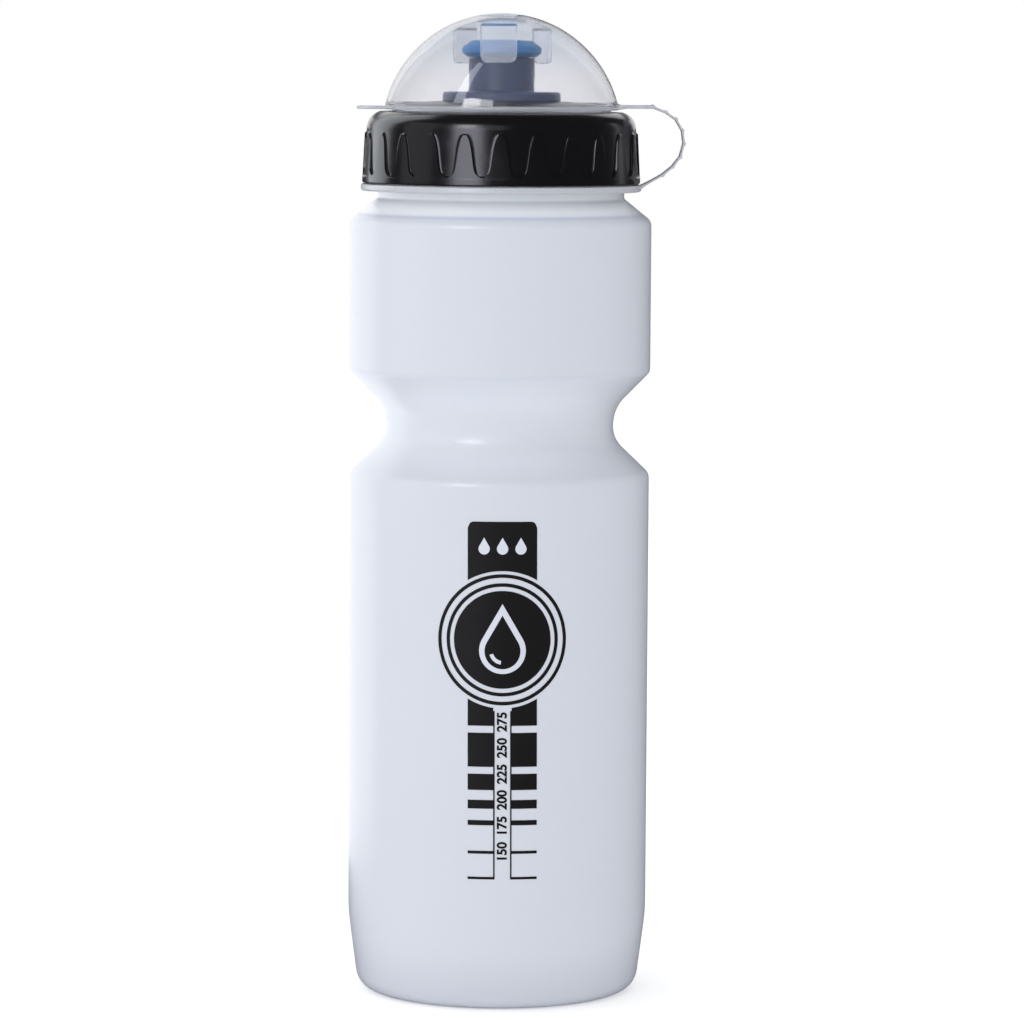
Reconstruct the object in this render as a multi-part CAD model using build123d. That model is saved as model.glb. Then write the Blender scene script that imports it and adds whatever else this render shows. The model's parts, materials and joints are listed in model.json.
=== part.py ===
from build123d import *
import math
import os

# A bicycle water bottle: a squeeze body with a screw cap, a push-pull spout and a clear dust
# dome on a strap. Millimetres, +Z up, origin at the centre of the base. The front is -Y, the
# strap is at +X and the dome's thumb tab is at -X.

# Squeeze body
BARREL_R = 36.6
UPPER_BARREL_R = 36.7
FOOT_R = 34.1
FOOT_CORNER_R = 5.0
FOOT_TAPER_TOP = 19.0
PUSH_UP_Z = 2.6
PUSH_UP_R = 17.0
REST_RING_R = 21.0
BARREL_TOP = 127.6
WAIST_R = 27.75
WAIST_LOW = 136.0
WAIST_HIGH = 143.2
UPPER_BARREL_BOTTOM = 152.4
SHOULDER_Z = 189.15
BODY_WALL = 1.0
# Corner radii of the body, from the push-up to the foot of the neck
BODY_CORNERS_R = [2.0, 1.0, FOOT_CORNER_R, 3.0, 3.0, 7.0, 9.9, 1.5, 2.5, 0.8]

# Neck and thread
NECK_BASE_Z = 194.6
NECK_BASE_R = 30.0
NECK_STEP_Z = 198.5
NECK_R = 29.5
NECK_BORE_R = 28.2
NECK_TOP = 212.0
NECK_LIP_R = 0.4
THREAD_LEAD = 5.0
THREAD_TURNS = 1.3
THREAD_DEPTH = 1.5
THREAD_ROOT_WIDTH = 2.2
THREAD_CREST_WIDTH = 1.1
THREAD_BURIED = 0.3
NECK_THREAD_Z = 202.0

# Screw cap
CAP_BOTTOM = 198.2
CAP_TOP = 215.7
CAP_BOTTOM_R = 33.9
CAP_BAND_TOP = 200.2
CAP_TOOTH_TOP = 210.7
CAP_TOOTH_TOP_R = 33.3
CAP_BAND_LEAN = 0.05
CAP_BAND_SLOPE = 0.4
TOOTH_HEIGHT = 0.65
TOOTH_COUNT = 24
TOOTH_SET_IN = 0.1
TOOTH_DEPTH = 1.5
TOOTH_SKIRT = 0.7
TOOTH_FOOT_HALF = 3.6
# Half of a tooth's width, and how far that lies below the tip
TOOTH_FLANK = [(0, 0), (0.8, -0.8), (1.25, -2.7), (1.75, -5.3), (2.45, -8.2), (3.0, -9.7)]
CAP_EDGE_R = 4.2
CAP_BORE_R = 31.4
CAP_CEILING = 213.3
SEAT_RING_R = 25.5
SEAT_RING_WALL = 1.1
SEAT_RING_TOP = 217.0
CONE_FOOT_R = 23.8
CONE_FOOT_Z = 216.3
HUB_R = 15.0
HUB_TOP = 218.05
HUB_UNDERSIDE = 214.0
HUB_BORE_R = 9.9
HUB_FOOT_R = 16.0

# Cap seal, a flat washer between the neck's rim and the cap's ceiling
SEAL_OUTER_R = 31.1
SEAL_INNER_R = 27.8
SEAL_GAP = 0.05

# Spout collar, with the valve post inside it
BRIM_R = 14.4
BRIM_BOTTOM = 218.1
BRIM_TOP = 220.4
BRIM_EDGE_R = 0.8
COLLAR_R = 8.0
COLLAR_TOP = 228.6
SPIGOT_R = 9.85
SPIGOT_BOTTOM = 213.0
SNAP_BEAD_R = 10.35
SNAP_BEAD_TOP = 213.9
BEAD_BORE_R = 7.25
STEM_BORE_R = 6.75
BORE_STEP_Z = 222.2
SPOKE_TOP = 214.8
SPOKE_WIDTH = 2.2
SPOKE_COUNT = 3
POST_R = 3.2
POST_SHOULDER_Z = 229.4
POST_TIP_R = 2.4
POST_TIP_Z = 232.2
POST_CHAMFER = 0.8
SPOKE_OVERLAP = 0.5

# Nozzle: a stiff stem with a soft mushroom tip on it
STEM_R = 6.66
STEM_BORE = 5.0
STEM_BOTTOM = 216.2
STEM_TOP = 230.4
STEM_BEAD_R = 7.16
STEM_BEAD_TOP = 217.4
TIP_R = 9.62
TIP_BOTTOM = 228.8
TIP_WIDEST_Z = 230.3
TIP_TOP = 233.0
TIP_FLAT_R = 4.2
TIP_HOLE_R = 2.5
TIP_CROWN = (8.3, 232.1)
TIP_FOOT_R = 7.9

# Dust dome
DOME_R = 29.2
DOME_CENTRE_Z = 210.3
DOME_WALL = 1.0
DOME_FLANGE_BOTTOM = 216.05
DOME_FLANGE_TOP = 216.85
DOME_FLANGE_R = 28.6
DOME_SPIGOT_BOTTOM = 215.75
DOME_SPIGOT_R = 26.8
DOME_SPIGOT_INNER_R = 25.85
FINGER_R = 12.25
FINGER_WALL = 1.25
FINGER_WIDTH = 8.4
FINGER_BOTTOM = 227.3
FINGER_CORNER_R = 2.0
FINGER_COUNT = 3
FINGER_START = -93.8
BOSS_R = 5.5
BOSS_BOTTOM = 237.8
DOME_SUNK = 0.4
TAB_END_R = 35.2
TAB_WIDTH = 12.0
TAB_CORNER_R = 4.0
TAB_START_R = 27.4

# Tether ring and the ribbed strap that joins it to the dome
RING_R = 34.2
RING_BORE_R = 31.3
RING_BOTTOM = 196.3
RING_TOP = 198.0
STRAP_WIDTH = 8.0
STRAP_WEB = 0.55
STRAP_STUB = 1.05
STUB_START_R = 27.6
STUB_WEDGE_START_R = 28.2
STUB_WEDGE_END_R = 30.4
STUB_WEDGE_HEIGHT = 1.6
STRAP_RIB_HEIGHT = 0.3
STRAP_RIB_WIDTH = 0.6
KNUCKLE_GAP = 0.1
RIB_SETBACK = 0.2
STRAP_ROOT = (33.0, 196.95)
STRAP_ROOT_THICKNESS = 1.0
RING_EDGE_R = 0.5
# (x, z) of the strap's knuckles, from the ring up to the dome
KNUCKLES = [
    (39.3, 200.5),
    (41.7, 202.5),
    (43.55, 204.9),
    (44.4, 208.1),
    (44.0, 211.25),
    (42.4, 213.95),
    (40.0, 215.6),
    (36.8, 216.9),
]

os.makedirs("parts", exist_ok=True)


def save(shape, node):
    export_step(shape, f"parts/{node}.step")
    print(f"{node}: {shape.volume / 1000:.2f} cm3")


def spin(profile):
    """A solid turned about Z from a closed face in the XZ plane."""
    return revolve(profile, Axis.Z, 360)


def face_xz(*points):
    """A face in the XZ plane from (radius, height) corners."""
    return make_face(Plane.XZ * Polyline(*points, close=True))


def tube(outer_r, inner_r, bottom, top):
    """A plain round tube."""
    outline = [(inner_r, bottom), (outer_r, bottom), (outer_r, top), (inner_r, top)]
    return spin(face_xz(*outline))


def inset(points, radii, wall):
    """The outline moved sideways by the wall, with its corner radii changed to suit."""
    lines = []
    for (r0, z0), (r1, z1) in zip(points, points[1:]):
        length = math.hypot(r1 - r0, z1 - z0)
        left = (-(z1 - z0) / length, (r1 - r0) / length)
        lines.append((r0 + wall * left[0], z0 + wall * left[1], r1 - r0, z1 - z0))
    moved = [(points[0][0], lines[0][1])]
    new_radii = []
    for (a, b), radius in zip(zip(lines, lines[1:]), radii):
        cross = a[2] * b[3] - a[3] * b[2]
        along = ((b[0] - a[0]) * b[3] - (b[1] - a[1]) * b[2]) / cross
        moved.append((a[0] + along * a[2], a[1] + along * a[3]))
        new_radii.append(max(radius - wall if cross > 0 else radius + wall, 0.3))
    last = lines[-1]
    moved.append((last[0] + last[2], last[1] + last[3]))
    return moved, new_radii


def thread(root_r, z, start_angle, outward):
    """A helical rib of trapezoid section, standing out of the wall or into the bore."""
    path = Helix(THREAD_LEAD, THREAD_LEAD * THREAD_TURNS, root_r)
    root = THREAD_ROOT_WIDTH / 2
    crest = THREAD_CREST_WIDTH / 2
    sign = 1 if outward else -1
    buried = -THREAD_BURIED * sign
    tip = THREAD_DEPTH * sign
    corners = [(buried, -root), (0, -root), (tip, -crest), (tip, crest), (0, root), (buried, root)]
    across = Plane(origin=path @ 0, x_dir=(1, 0, 0), z_dir=path % 0)
    section = across * make_face(Polyline(*corners, close=True))
    rib = sweep(section, path=path, is_frenet=True)
    return Rot(0, 0, start_angle) * (Pos(0, 0, z) * rib)


def make_bottle_body():
    """A blown squeeze bottle: pushed-up base, grip waist, cone shoulder and threaded neck."""
    outer = [
        (0, PUSH_UP_Z),
        (PUSH_UP_R, PUSH_UP_Z),
        (REST_RING_R, 0),
        (FOOT_R, 0),
        (BARREL_R, FOOT_TAPER_TOP),
        (BARREL_R, BARREL_TOP),
        (WAIST_R, WAIST_LOW),
        (WAIST_R, WAIST_HIGH),
        (UPPER_BARREL_R, UPPER_BARREL_BOTTOM),
        (UPPER_BARREL_R, SHOULDER_Z),
        (NECK_BASE_R, NECK_BASE_Z),
        (NECK_BASE_R, NECK_STEP_Z),
    ]
    inner, inner_radii = inset(outer, BODY_CORNERS_R, BODY_WALL)
    outside = FilletPolyline(*outer, radius=BODY_CORNERS_R)
    inside = FilletPolyline(*inner, radius=inner_radii)
    closing = [Line(outer[0], inner[0]), Line(outer[-1], inner[-1])]
    shell = spin(make_face(Plane.XZ * (outside + inside + closing)))
    neck = tube(NECK_R, NECK_BORE_R, NECK_BASE_Z, NECK_TOP)
    lip = neck.edges().filter_by(GeomType.CIRCLE).group_by(Axis.Z)[-1]
    neck = fillet(lip, NECK_LIP_R)
    return shell + neck + thread(NECK_R, NECK_THREAD_Z, 0, outward=True)


def cap_tooth():
    """One grip tooth: a flat-faced rib with a narrow round tip, flaring at its foot."""
    foot_z = CAP_BAND_TOP - CAP_TOOTH_TOP
    right = Spline(*TOOTH_FLANK, (TOOTH_FOOT_HALF, foot_z), tangents=[(1, 0), (1, -0.5)])
    left = mirror(right, Plane.YZ)
    foot = Polyline(
        (TOOTH_FOOT_HALF, foot_z),
        (TOOTH_FOOT_HALF, foot_z - TOOTH_SKIRT),
        (-TOOTH_FOOT_HALF, foot_z - TOOTH_SKIRT),
        (-TOOTH_FOOT_HALF, foot_z),
    )
    outline = make_face(right + left + foot)
    lean = math.atan2(CAP_BOTTOM_R - CAP_TOOTH_TOP_R, CAP_TOOTH_TOP - CAP_BOTTOM)
    face = Plane(
        origin=(0, TOOTH_SET_IN - CAP_TOOTH_TOP_R, CAP_TOOTH_TOP),
        x_dir=(1, 0, 0),
        z_dir=(0, -math.cos(lean), math.sin(lean)),
    )
    return extrude(face * outline, -TOOTH_DEPTH)


def make_screw_cap():
    """The cap: a toothed skirt, a seat ring for the dome, a low cone and a hub for the spout."""
    floor_low = CAP_BOTTOM_R - TOOTH_HEIGHT
    floor_high = CAP_TOOTH_TOP_R - TOOTH_HEIGHT
    seat_inner_r = SEAT_RING_R - SEAT_RING_WALL
    outer = [
        (CAP_BORE_R, CAP_BOTTOM),
        (CAP_BOTTOM_R, CAP_BOTTOM),
        (CAP_BOTTOM_R - CAP_BAND_LEAN, CAP_BAND_TOP),
        (floor_low, CAP_BAND_TOP + CAP_BAND_SLOPE),
        (floor_high, CAP_TOP),
        (SEAT_RING_R, CAP_TOP),
    ]
    skirt = FilletPolyline(*outer, radius=[0.4, 0.3, 0.3, CAP_EDGE_R])
    inside = Polyline(
        (SEAT_RING_R, CAP_TOP),
        (SEAT_RING_R, SEAT_RING_TOP),
        (seat_inner_r, SEAT_RING_TOP),
        (seat_inner_r, CONE_FOOT_Z),
        (CONE_FOOT_R, CONE_FOOT_Z),
        (HUB_R, HUB_TOP),
        (HUB_BORE_R, HUB_TOP),
        (HUB_BORE_R, HUB_UNDERSIDE),
        (HUB_R, HUB_UNDERSIDE),
        (HUB_FOOT_R, CAP_CEILING),
        (CAP_BORE_R, CAP_CEILING),
        (CAP_BORE_R, CAP_BOTTOM),
    )
    cap = spin(make_face(Plane.XZ * (skirt + inside)))
    tooth = cap_tooth()
    pitch = 360 / TOOTH_COUNT
    teeth = [Rot(0, 0, pitch * k) * tooth for k in range(TOOTH_COUNT)]
    cap = cap.fuse(*teeth)
    cap_thread_z = NECK_THREAD_Z - THREAD_LEAD / 2 + THREAD_LEAD / 4
    return cap + thread(CAP_BORE_R, cap_thread_z, 90, outward=False)


def make_cap_seal():
    """The washer that the cap presses on the neck's rim."""
    return tube(SEAL_OUTER_R, SEAL_INNER_R, NECK_TOP + SEAL_GAP, CAP_CEILING - SEAL_GAP)


def make_spout_collar():
    """The brim and collar that hold the nozzle, with the valve post on spokes inside."""
    outline = Polyline(
        (BEAD_BORE_R, SPIGOT_BOTTOM),
        (SNAP_BEAD_R, SPIGOT_BOTTOM),
        (SNAP_BEAD_R, SNAP_BEAD_TOP),
        (SPIGOT_R, SNAP_BEAD_TOP),
        (SPIGOT_R, BRIM_BOTTOM),
        (BRIM_R, BRIM_BOTTOM),
        (BRIM_R, BRIM_TOP - BRIM_EDGE_R),
    )
    edge = RadiusArc((BRIM_R, BRIM_TOP - BRIM_EDGE_R), (BRIM_R - BRIM_EDGE_R, BRIM_TOP), -BRIM_EDGE_R)
    rest = Polyline(
        (BRIM_R - BRIM_EDGE_R, BRIM_TOP),
        (COLLAR_R, BRIM_TOP),
        (COLLAR_R, COLLAR_TOP),
        (STEM_BORE_R, COLLAR_TOP),
        (STEM_BORE_R, BORE_STEP_Z),
        (BEAD_BORE_R, BORE_STEP_Z),
        (BEAD_BORE_R, SPIGOT_BOTTOM),
    )
    collar = spin(make_face(Plane.XZ * (outline + edge + rest)))
    post = spin(
        face_xz(
            (0, SPIGOT_BOTTOM),
            (POST_R, SPIGOT_BOTTOM),
            (POST_R, POST_SHOULDER_Z),
            (POST_TIP_R, POST_SHOULDER_Z + POST_CHAMFER),
            (POST_TIP_R, POST_TIP_Z),
            (0, POST_TIP_Z),
        )
    )
    reach = BEAD_BORE_R + SPOKE_OVERLAP
    height = SPOKE_TOP - SPIGOT_BOTTOM
    spoke = Pos(reach / 2, 0, SPIGOT_BOTTOM + height / 2) * Box(reach, SPOKE_WIDTH, height)
    spokes = [Rot(0, 0, 360 / SPOKE_COUNT * k) * spoke for k in range(SPOKE_COUNT)]
    return collar.fuse(post, *spokes)


def make_nozzle_stem():
    """The sliding tube, with the bead that stops it at the collar's bore step."""
    stem = tube(STEM_R, STEM_BORE, STEM_BOTTOM, STEM_TOP)
    return stem + tube(STEM_BEAD_R, STEM_BORE, STEM_BOTTOM, STEM_BEAD_TOP)


def make_nozzle_tip():
    """The soft mushroom head, socketed on the stem, with the drinking hole through it."""
    crown = Spline(
        (TIP_R, TIP_WIDEST_Z),
        TIP_CROWN,
        (TIP_FLAT_R, TIP_TOP),
        tangents=[(0, 1), (-1, 0)],
    )
    under = Spline((TIP_FOOT_R, TIP_BOTTOM), (TIP_R, TIP_WIDEST_Z), tangents=[(1, 0), (0, 1)])
    inside = Polyline(
        (TIP_FLAT_R, TIP_TOP),
        (TIP_HOLE_R, TIP_TOP),
        (TIP_HOLE_R, STEM_TOP),
        (STEM_R, STEM_TOP),
        (STEM_R, TIP_BOTTOM),
        (TIP_FOOT_R, TIP_BOTTOM),
    )
    return spin(make_face(Plane.XZ * (under + crown + inside)))


def dome_finger():
    """One spring finger, a strip of a round tube with rounded lower corners."""
    top = DOME_CENTRE_Z + DOME_R
    wall = tube(FINGER_R, FINGER_R - FINGER_WALL, FINGER_BOTTOM, top)
    height = top - FINGER_BOTTOM
    strip = Pos(FINGER_R, 0, FINGER_BOTTOM + height / 2) * Box(2 * FINGER_WIDTH, FINGER_WIDTH, height)
    lower = strip.edges().filter_by(Axis.X).group_by(Axis.Z)[0]
    strip = fillet(lower, FINGER_CORNER_R)
    return wall & strip & (Pos(0, 0, DOME_CENTRE_Z) * Sphere(DOME_R - DOME_WALL / 2))


def make_dust_dome():
    """The clear dome: a thin cap of a sphere, with a snap spigot, fingers, a tab and a strap stub."""
    centre = Pos(0, 0, DOME_CENTRE_Z)
    keep = Pos(0, 0, DOME_FLANGE_TOP - DOME_SUNK + DOME_R) * Box(3 * DOME_R, 3 * DOME_R, 2 * DOME_R)
    dome = (centre * Sphere(DOME_R)) - (centre * Sphere(DOME_R - DOME_WALL))
    dome = dome & keep
    dome += tube(DOME_FLANGE_R, DOME_SPIGOT_INNER_R, DOME_FLANGE_BOTTOM, DOME_FLANGE_TOP)
    dome += tube(DOME_SPIGOT_R, DOME_SPIGOT_INNER_R, DOME_SPIGOT_BOTTOM, DOME_FLANGE_TOP)
    finger = dome_finger()
    for k in range(FINGER_COUNT):
        dome += Rot(0, 0, FINGER_START + 360 / FINGER_COUNT * k) * finger
    boss_top = DOME_CENTRE_Z + DOME_R - DOME_WALL / 2
    dome += Pos(0, 0, (BOSS_BOTTOM + boss_top) / 2) * Cylinder(BOSS_R, boss_top - BOSS_BOTTOM)

    tab_mid = -(TAB_START_R + TAB_END_R) / 2
    tab = Pos(tab_mid, 0, (DOME_FLANGE_BOTTOM + DOME_FLANGE_TOP) / 2) * Box(
        TAB_END_R - TAB_START_R, TAB_WIDTH, DOME_FLANGE_TOP - DOME_FLANGE_BOTTOM
    )
    dome += fillet(tab.edges().filter_by(Axis.Z).group_by(Axis.X)[0], TAB_CORNER_R)

    end_x, end_z = KNUCKLES[-1]
    half = STRAP_STUB / 2
    stub = face_xz(
        (STUB_START_R, end_z - half),
        (end_x - KNUCKLE_GAP, end_z - half),
        (end_x - KNUCKLE_GAP, end_z + half),
        (STUB_WEDGE_END_R, end_z + half),
        (STUB_WEDGE_START_R, end_z + half + STUB_WEDGE_HEIGHT),
        (STUB_START_R, end_z + half + STUB_WEDGE_HEIGHT),
    )
    return dome + extrude(stub, STRAP_WIDTH / 2, both=True)


def make_tether_ring():
    """The loose ring round the neck, under the cap, with the strap's root on it."""
    ring = tube(RING_R, RING_BORE_R, RING_BOTTOM, RING_TOP)
    ring = fillet(ring.edges().filter_by(GeomType.CIRCLE), RING_EDGE_R)
    (x0, z0), (x1, z1) = STRAP_ROOT, KNUCKLES[0]
    length = math.hypot(x1 - x0, z1 - z0)
    ux, uz = (x1 - x0) / length, (z1 - z0) / length
    x1, z1 = x1 - KNUCKLE_GAP * ux, z1 - KNUCKLE_GAP * uz
    thick, thin = STRAP_ROOT_THICKNESS / 2, STRAP_WEB / 2
    root = face_xz(
        (x0 + thick * uz, z0 - thick * ux),
        (x1 + thin * uz, z1 - thin * ux),
        (x1 - thin * uz, z1 + thin * ux),
        (x0 - thick * uz, z0 + thick * ux),
    )
    return ring + extrude(root, STRAP_WIDTH / 2, both=True)


def make_strap_link(start, end):
    """One flat link between two knuckles, with a small rib across its outer side."""
    length = math.dist(start, end)
    half = STRAP_WEB / 2
    outside = half + STRAP_RIB_HEIGHT
    outline = [
        (KNUCKLE_GAP, half),
        (KNUCKLE_GAP, -half),
        (RIB_SETBACK, -half),
        (RIB_SETBACK, -outside),
        (RIB_SETBACK + STRAP_RIB_WIDTH, -outside),
        (RIB_SETBACK + STRAP_RIB_WIDTH, -half),
        (length - KNUCKLE_GAP, -half),
        (length - KNUCKLE_GAP, half),
    ]
    ux, uz = (end[0] - start[0]) / length, (end[1] - start[1]) / length
    corners = [(start[0] + a * ux - b * uz, start[1] + a * uz + b * ux) for a, b in outline]
    return extrude(face_xz(*corners), STRAP_WIDTH / 2, both=True)


save(make_bottle_body(), "bottle_body")
save(make_screw_cap(), "screw_cap")
save(make_cap_seal(), "cap_seal")
save(make_spout_collar(), "spout_collar")
save(make_nozzle_stem(), "nozzle_stem")
save(make_nozzle_tip(), "nozzle_tip")
save(make_dust_dome(), "dust_dome")
save(make_tether_ring(), "tether_ring")
for number, (start, end) in enumerate(zip(KNUCKLES, KNUCKLES[1:]), 1):
    save(make_strap_link(start, end), f"strap_link_{number}")
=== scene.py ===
# %% [markdown]
# # A bicycle water bottle
#
# This lesson dresses a finished CAD model of a squeeze bottle: a milky body, a black screw cap,
# a blue push-pull spout and a clear dust dome on a ribbed strap. The CAD model fixes every size
# and every joint. Each piece is made again here as a smooth surface worked out with numpy, and it
# gets a finish of its own. The pieces then ride on the CAD bodies, so they move with the joints;
# only the strap's lengths stay where they are made.

# %% Load the fixed frame
import json
import math

import bmesh
import bpy
import numpy as np
from mathutils import Matrix, Vector


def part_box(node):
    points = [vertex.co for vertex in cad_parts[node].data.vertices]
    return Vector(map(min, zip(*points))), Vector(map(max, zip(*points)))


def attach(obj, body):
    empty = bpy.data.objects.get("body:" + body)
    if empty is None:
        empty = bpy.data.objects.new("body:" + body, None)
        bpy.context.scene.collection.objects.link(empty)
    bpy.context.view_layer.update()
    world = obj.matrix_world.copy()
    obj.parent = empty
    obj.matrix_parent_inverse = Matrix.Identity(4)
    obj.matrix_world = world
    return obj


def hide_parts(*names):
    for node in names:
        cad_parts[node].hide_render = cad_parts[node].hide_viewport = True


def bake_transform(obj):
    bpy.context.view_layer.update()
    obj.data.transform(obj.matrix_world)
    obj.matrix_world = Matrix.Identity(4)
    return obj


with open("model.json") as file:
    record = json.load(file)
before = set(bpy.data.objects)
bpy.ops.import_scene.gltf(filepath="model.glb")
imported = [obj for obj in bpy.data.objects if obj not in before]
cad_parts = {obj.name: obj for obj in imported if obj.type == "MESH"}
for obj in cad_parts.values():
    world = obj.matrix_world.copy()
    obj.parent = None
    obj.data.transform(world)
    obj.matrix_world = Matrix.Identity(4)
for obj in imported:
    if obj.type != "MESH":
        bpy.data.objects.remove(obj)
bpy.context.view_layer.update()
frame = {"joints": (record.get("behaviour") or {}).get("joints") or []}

# %% [markdown]
# ## Sizes
#
# Lengths are in millimetres and are turned into metres when a mesh is made. What can be read from
# the CAD model is read from it: heights and radii of the body, the cap, the dome and the ring. The
# rest are wall thicknesses and corner radii that a box cannot tell.

# %% Sizes read from the frame
MM = 0.001


def top(node):
    """The node's highest point in millimetres."""
    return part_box(node)[1].z / MM


def bottom(node):
    """The node's lowest point in millimetres."""
    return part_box(node)[0].z / MM


def radius(node):
    """Half of the node's width across the bottle, front to back, in millimetres."""
    low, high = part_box(node)
    return (high.y - low.y) / 2 / MM


NECK_TOP = top("bottle_body")
UPPER_R = radius("bottle_body")
BARREL_R = UPPER_R - 0.1
CAP_BOTTOM = bottom("screw_cap")
CAP_BOTTOM_R = 33.9
DOME_TOP = top("dust_dome")
RING_R = radius("tether_ring")
RING_BOTTOM = bottom("tether_ring")
RING_TOP = RING_BOTTOM + 1.7
print(f"neck top {NECK_TOP:.1f}, barrel radius {BARREL_R:.2f}, dome top {DOME_TOP:.1f} mm")

# %% [markdown]
# ## Profiles
#
# Nearly every piece is turned, so it begins as a profile: corner points of radius and height, each
# corner rounded by an arc. An arc touches both of its straight runs, so it starts back from the
# corner by the radius times the tangent of half the turn. The same corners, moved in by the wall,
# make the inside of a hollow piece.

# %% Rounded profiles


def rounded(points, radii, step=1.5, arc_degrees=9.0):
    """A smooth profile through corner points.

    Each inner corner becomes an arc: it begins radius * tan(turn / 2) before the corner, and its
    centre is one radius to the side that the profile turns to. Straight runs are cut into steps.
    """
    points = np.asarray(points, float)
    stations = [points[:1]]
    last = points[0]
    for before, corner, after, r in zip(points, points[1:], points[2:], radii):
        into = (corner - before) / np.linalg.norm(corner - before)
        out = (after - corner) / np.linalg.norm(after - corner)
        turn = math.atan2(into[0] * out[1] - into[1] * out[0], into @ out)
        start = corner - into * r * math.tan(abs(turn) / 2)
        side = math.copysign(1.0, turn) * np.array([-into[1], into[0]])
        centre = start + side * r
        count = max(2, math.ceil(math.degrees(abs(turn)) / arc_degrees))
        angle = np.linspace(0, turn, count + 1)[:, None]
        spoke = start - centre
        crosswise = np.array([-spoke[1], spoke[0]])
        arc = centre + spoke * np.cos(angle) + crosswise * np.sin(angle)
        runs = max(1, math.ceil(np.linalg.norm(start - last) / step))
        stations.append(last + (start - last) * np.linspace(0, 1, runs + 1)[1:-1, None])
        stations.append(arc)
        last = arc[-1]
    runs = max(1, math.ceil(np.linalg.norm(points[-1] - last) / step))
    stations.append(last + (points[-1] - last) * np.linspace(0, 1, runs + 1)[1:, None])
    return np.concatenate(stations)


def inset(points, radii, wall):
    """The corners moved to the left of the profile's direction by the wall.

    Each run moves sideways, and neighbouring runs meet again where their lines cross. A corner
    that bulges outwards loses the wall from its radius, and one that dips inwards gains it.
    """
    points = np.asarray(points, float)
    along = np.diff(points, axis=0)
    left = np.stack([-along[:, 1], along[:, 0]], 1) / np.linalg.norm(along, axis=1)[:, None]
    start = points[:-1] + wall * left
    cross = along[:-1, 0] * along[1:, 1] - along[:-1, 1] * along[1:, 0]
    gap = start[1:] - start[:-1]
    share = (gap[:, 0] * along[1:, 1] - gap[:, 1] * along[1:, 0]) / cross
    corners = start[:-1] + share[:, None] * along[:-1]
    new_radii = [max(r - wall, 0.3) if c > 0 else r + wall for r, c in zip(radii, cross)]
    return np.vstack([start[:1], corners, start[-1:] + along[-1:]]), new_radii


print("a quarter arc has", len(rounded([(0, 0), (5, 0), (5, 5)], [2])), "stations")

# %% [markdown]
# ## Surfaces
#
# A surface here is a grid of points: rows follow the profile and columns go round the axis. Quads
# join the grid, the last column joins the first, and a row whose points all fall together is
# welded into a pole. The volume that the faces enclose is then added up, and if it comes out
# negative the faces are turned round, so every piece points outwards.

# %% From a grid of points to a mesh


def grid_faces(rows, columns, loop_rows=False, loop_columns=True):
    """Quads between neighbouring rows and columns; a looped direction joins its end to its start."""
    r = np.arange(rows if loop_rows else rows - 1)
    c = np.arange(columns if loop_columns else columns - 1)
    r, c = (a.ravel() for a in np.meshgrid(r, c, indexing="ij"))
    up, over = (r + 1) % rows, (c + 1) % columns
    return np.stack([r * columns + c, r * columns + over, up * columns + over, up * columns + c], 1)


def enclosed(points, faces):
    """Volume inside a closed mesh: the sum over triangles of a dot (b cross c) / 6."""
    total = 0.0
    for i, j in ((1, 2), (2, 3)):
        a, b, c = (points[faces[:, k]] for k in (0, i, j))
        total += np.einsum("ij,ij->i", a, np.cross(b, c)).sum() / 6
    return total


def make_piece(name, grid, loop_rows=False, loop_columns=True, weld=True, sharp=32):
    """A mesh object from one grid of points in millimetres, or from a list of grids."""
    grids = grid if isinstance(grid, list) else [grid]
    points, faces, start = [], [], 0
    for g in grids:
        flat = g.reshape(-1, 3) * MM
        quads = grid_faces(g.shape[0], g.shape[1], loop_rows, loop_columns)
        if enclosed(flat, quads) < 0:
            quads = quads[:, ::-1]
        points.append(flat)
        faces.append(quads + start)
        start += len(flat)
    mesh = bpy.data.meshes.new(name)
    mesh.from_pydata(np.concatenate(points), [], np.concatenate(faces).tolist())
    if weld:
        shape = bmesh.new()
        shape.from_mesh(mesh)
        bmesh.ops.remove_doubles(shape, verts=shape.verts, dist=2e-7)
        bmesh.ops.dissolve_degenerate(shape, edges=shape.edges, dist=1e-7)
        shape.to_mesh(mesh)
        shape.free()
    mesh.shade_smooth()
    mesh.set_sharp_from_angle(angle=math.radians(sharp))
    piece = bpy.data.objects.new(name, mesh)
    bpy.context.scene.collection.objects.link(piece)
    return piece


def turned(profile, angles):
    """Points of a turned surface: x = r cos(a), y = r sin(a), z, for every station and angle."""
    r, z = profile[:, 0, None], profile[:, 1, None]
    return np.stack([r * np.cos(angles), r * np.sin(angles), z + 0 * angles], -1)


def even_angles(count):
    """Angles spaced evenly round the axis."""
    return np.linspace(0, 2 * np.pi, count, endpoint=False)


def dress(piece, body, slot, material, *nodes):
    """Give a finished piece its material and its body, and hide the CAD nodes it stands for. The slot is not
    used.
    """
    piece.data.materials.append(material)
    if nodes:
        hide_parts(*nodes)
    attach(piece, body)
    print(f"{piece.name}: {len(piece.data.polygons)} faces on {body}")
    return piece


# %% [markdown]
# ## Finishes
#
# All of the plastics share one recipe: a Principled shader whose roughness and bump come from
# noise on Object coordinates. A fine noise stands for the grain of the mould, and a broad one for
# the slow changes in polish that make a highlight look moulded and not computed. Each finish then
# has its own colour, gloss and depth.

# %% The shared plastic recipe
MIX_INPUTS = (0, 6, 7)
MIX_RESULT = 2


def node(tree, kind, **values):
    """A shader node with its settings and unlinked inputs filled in by name."""
    made = tree.nodes.new(kind)
    for key, value in values.items():
        if hasattr(made, key):
            setattr(made, key, value)
        else:
            made.inputs[key.replace("_", " ")].default_value = value
    return made


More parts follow.
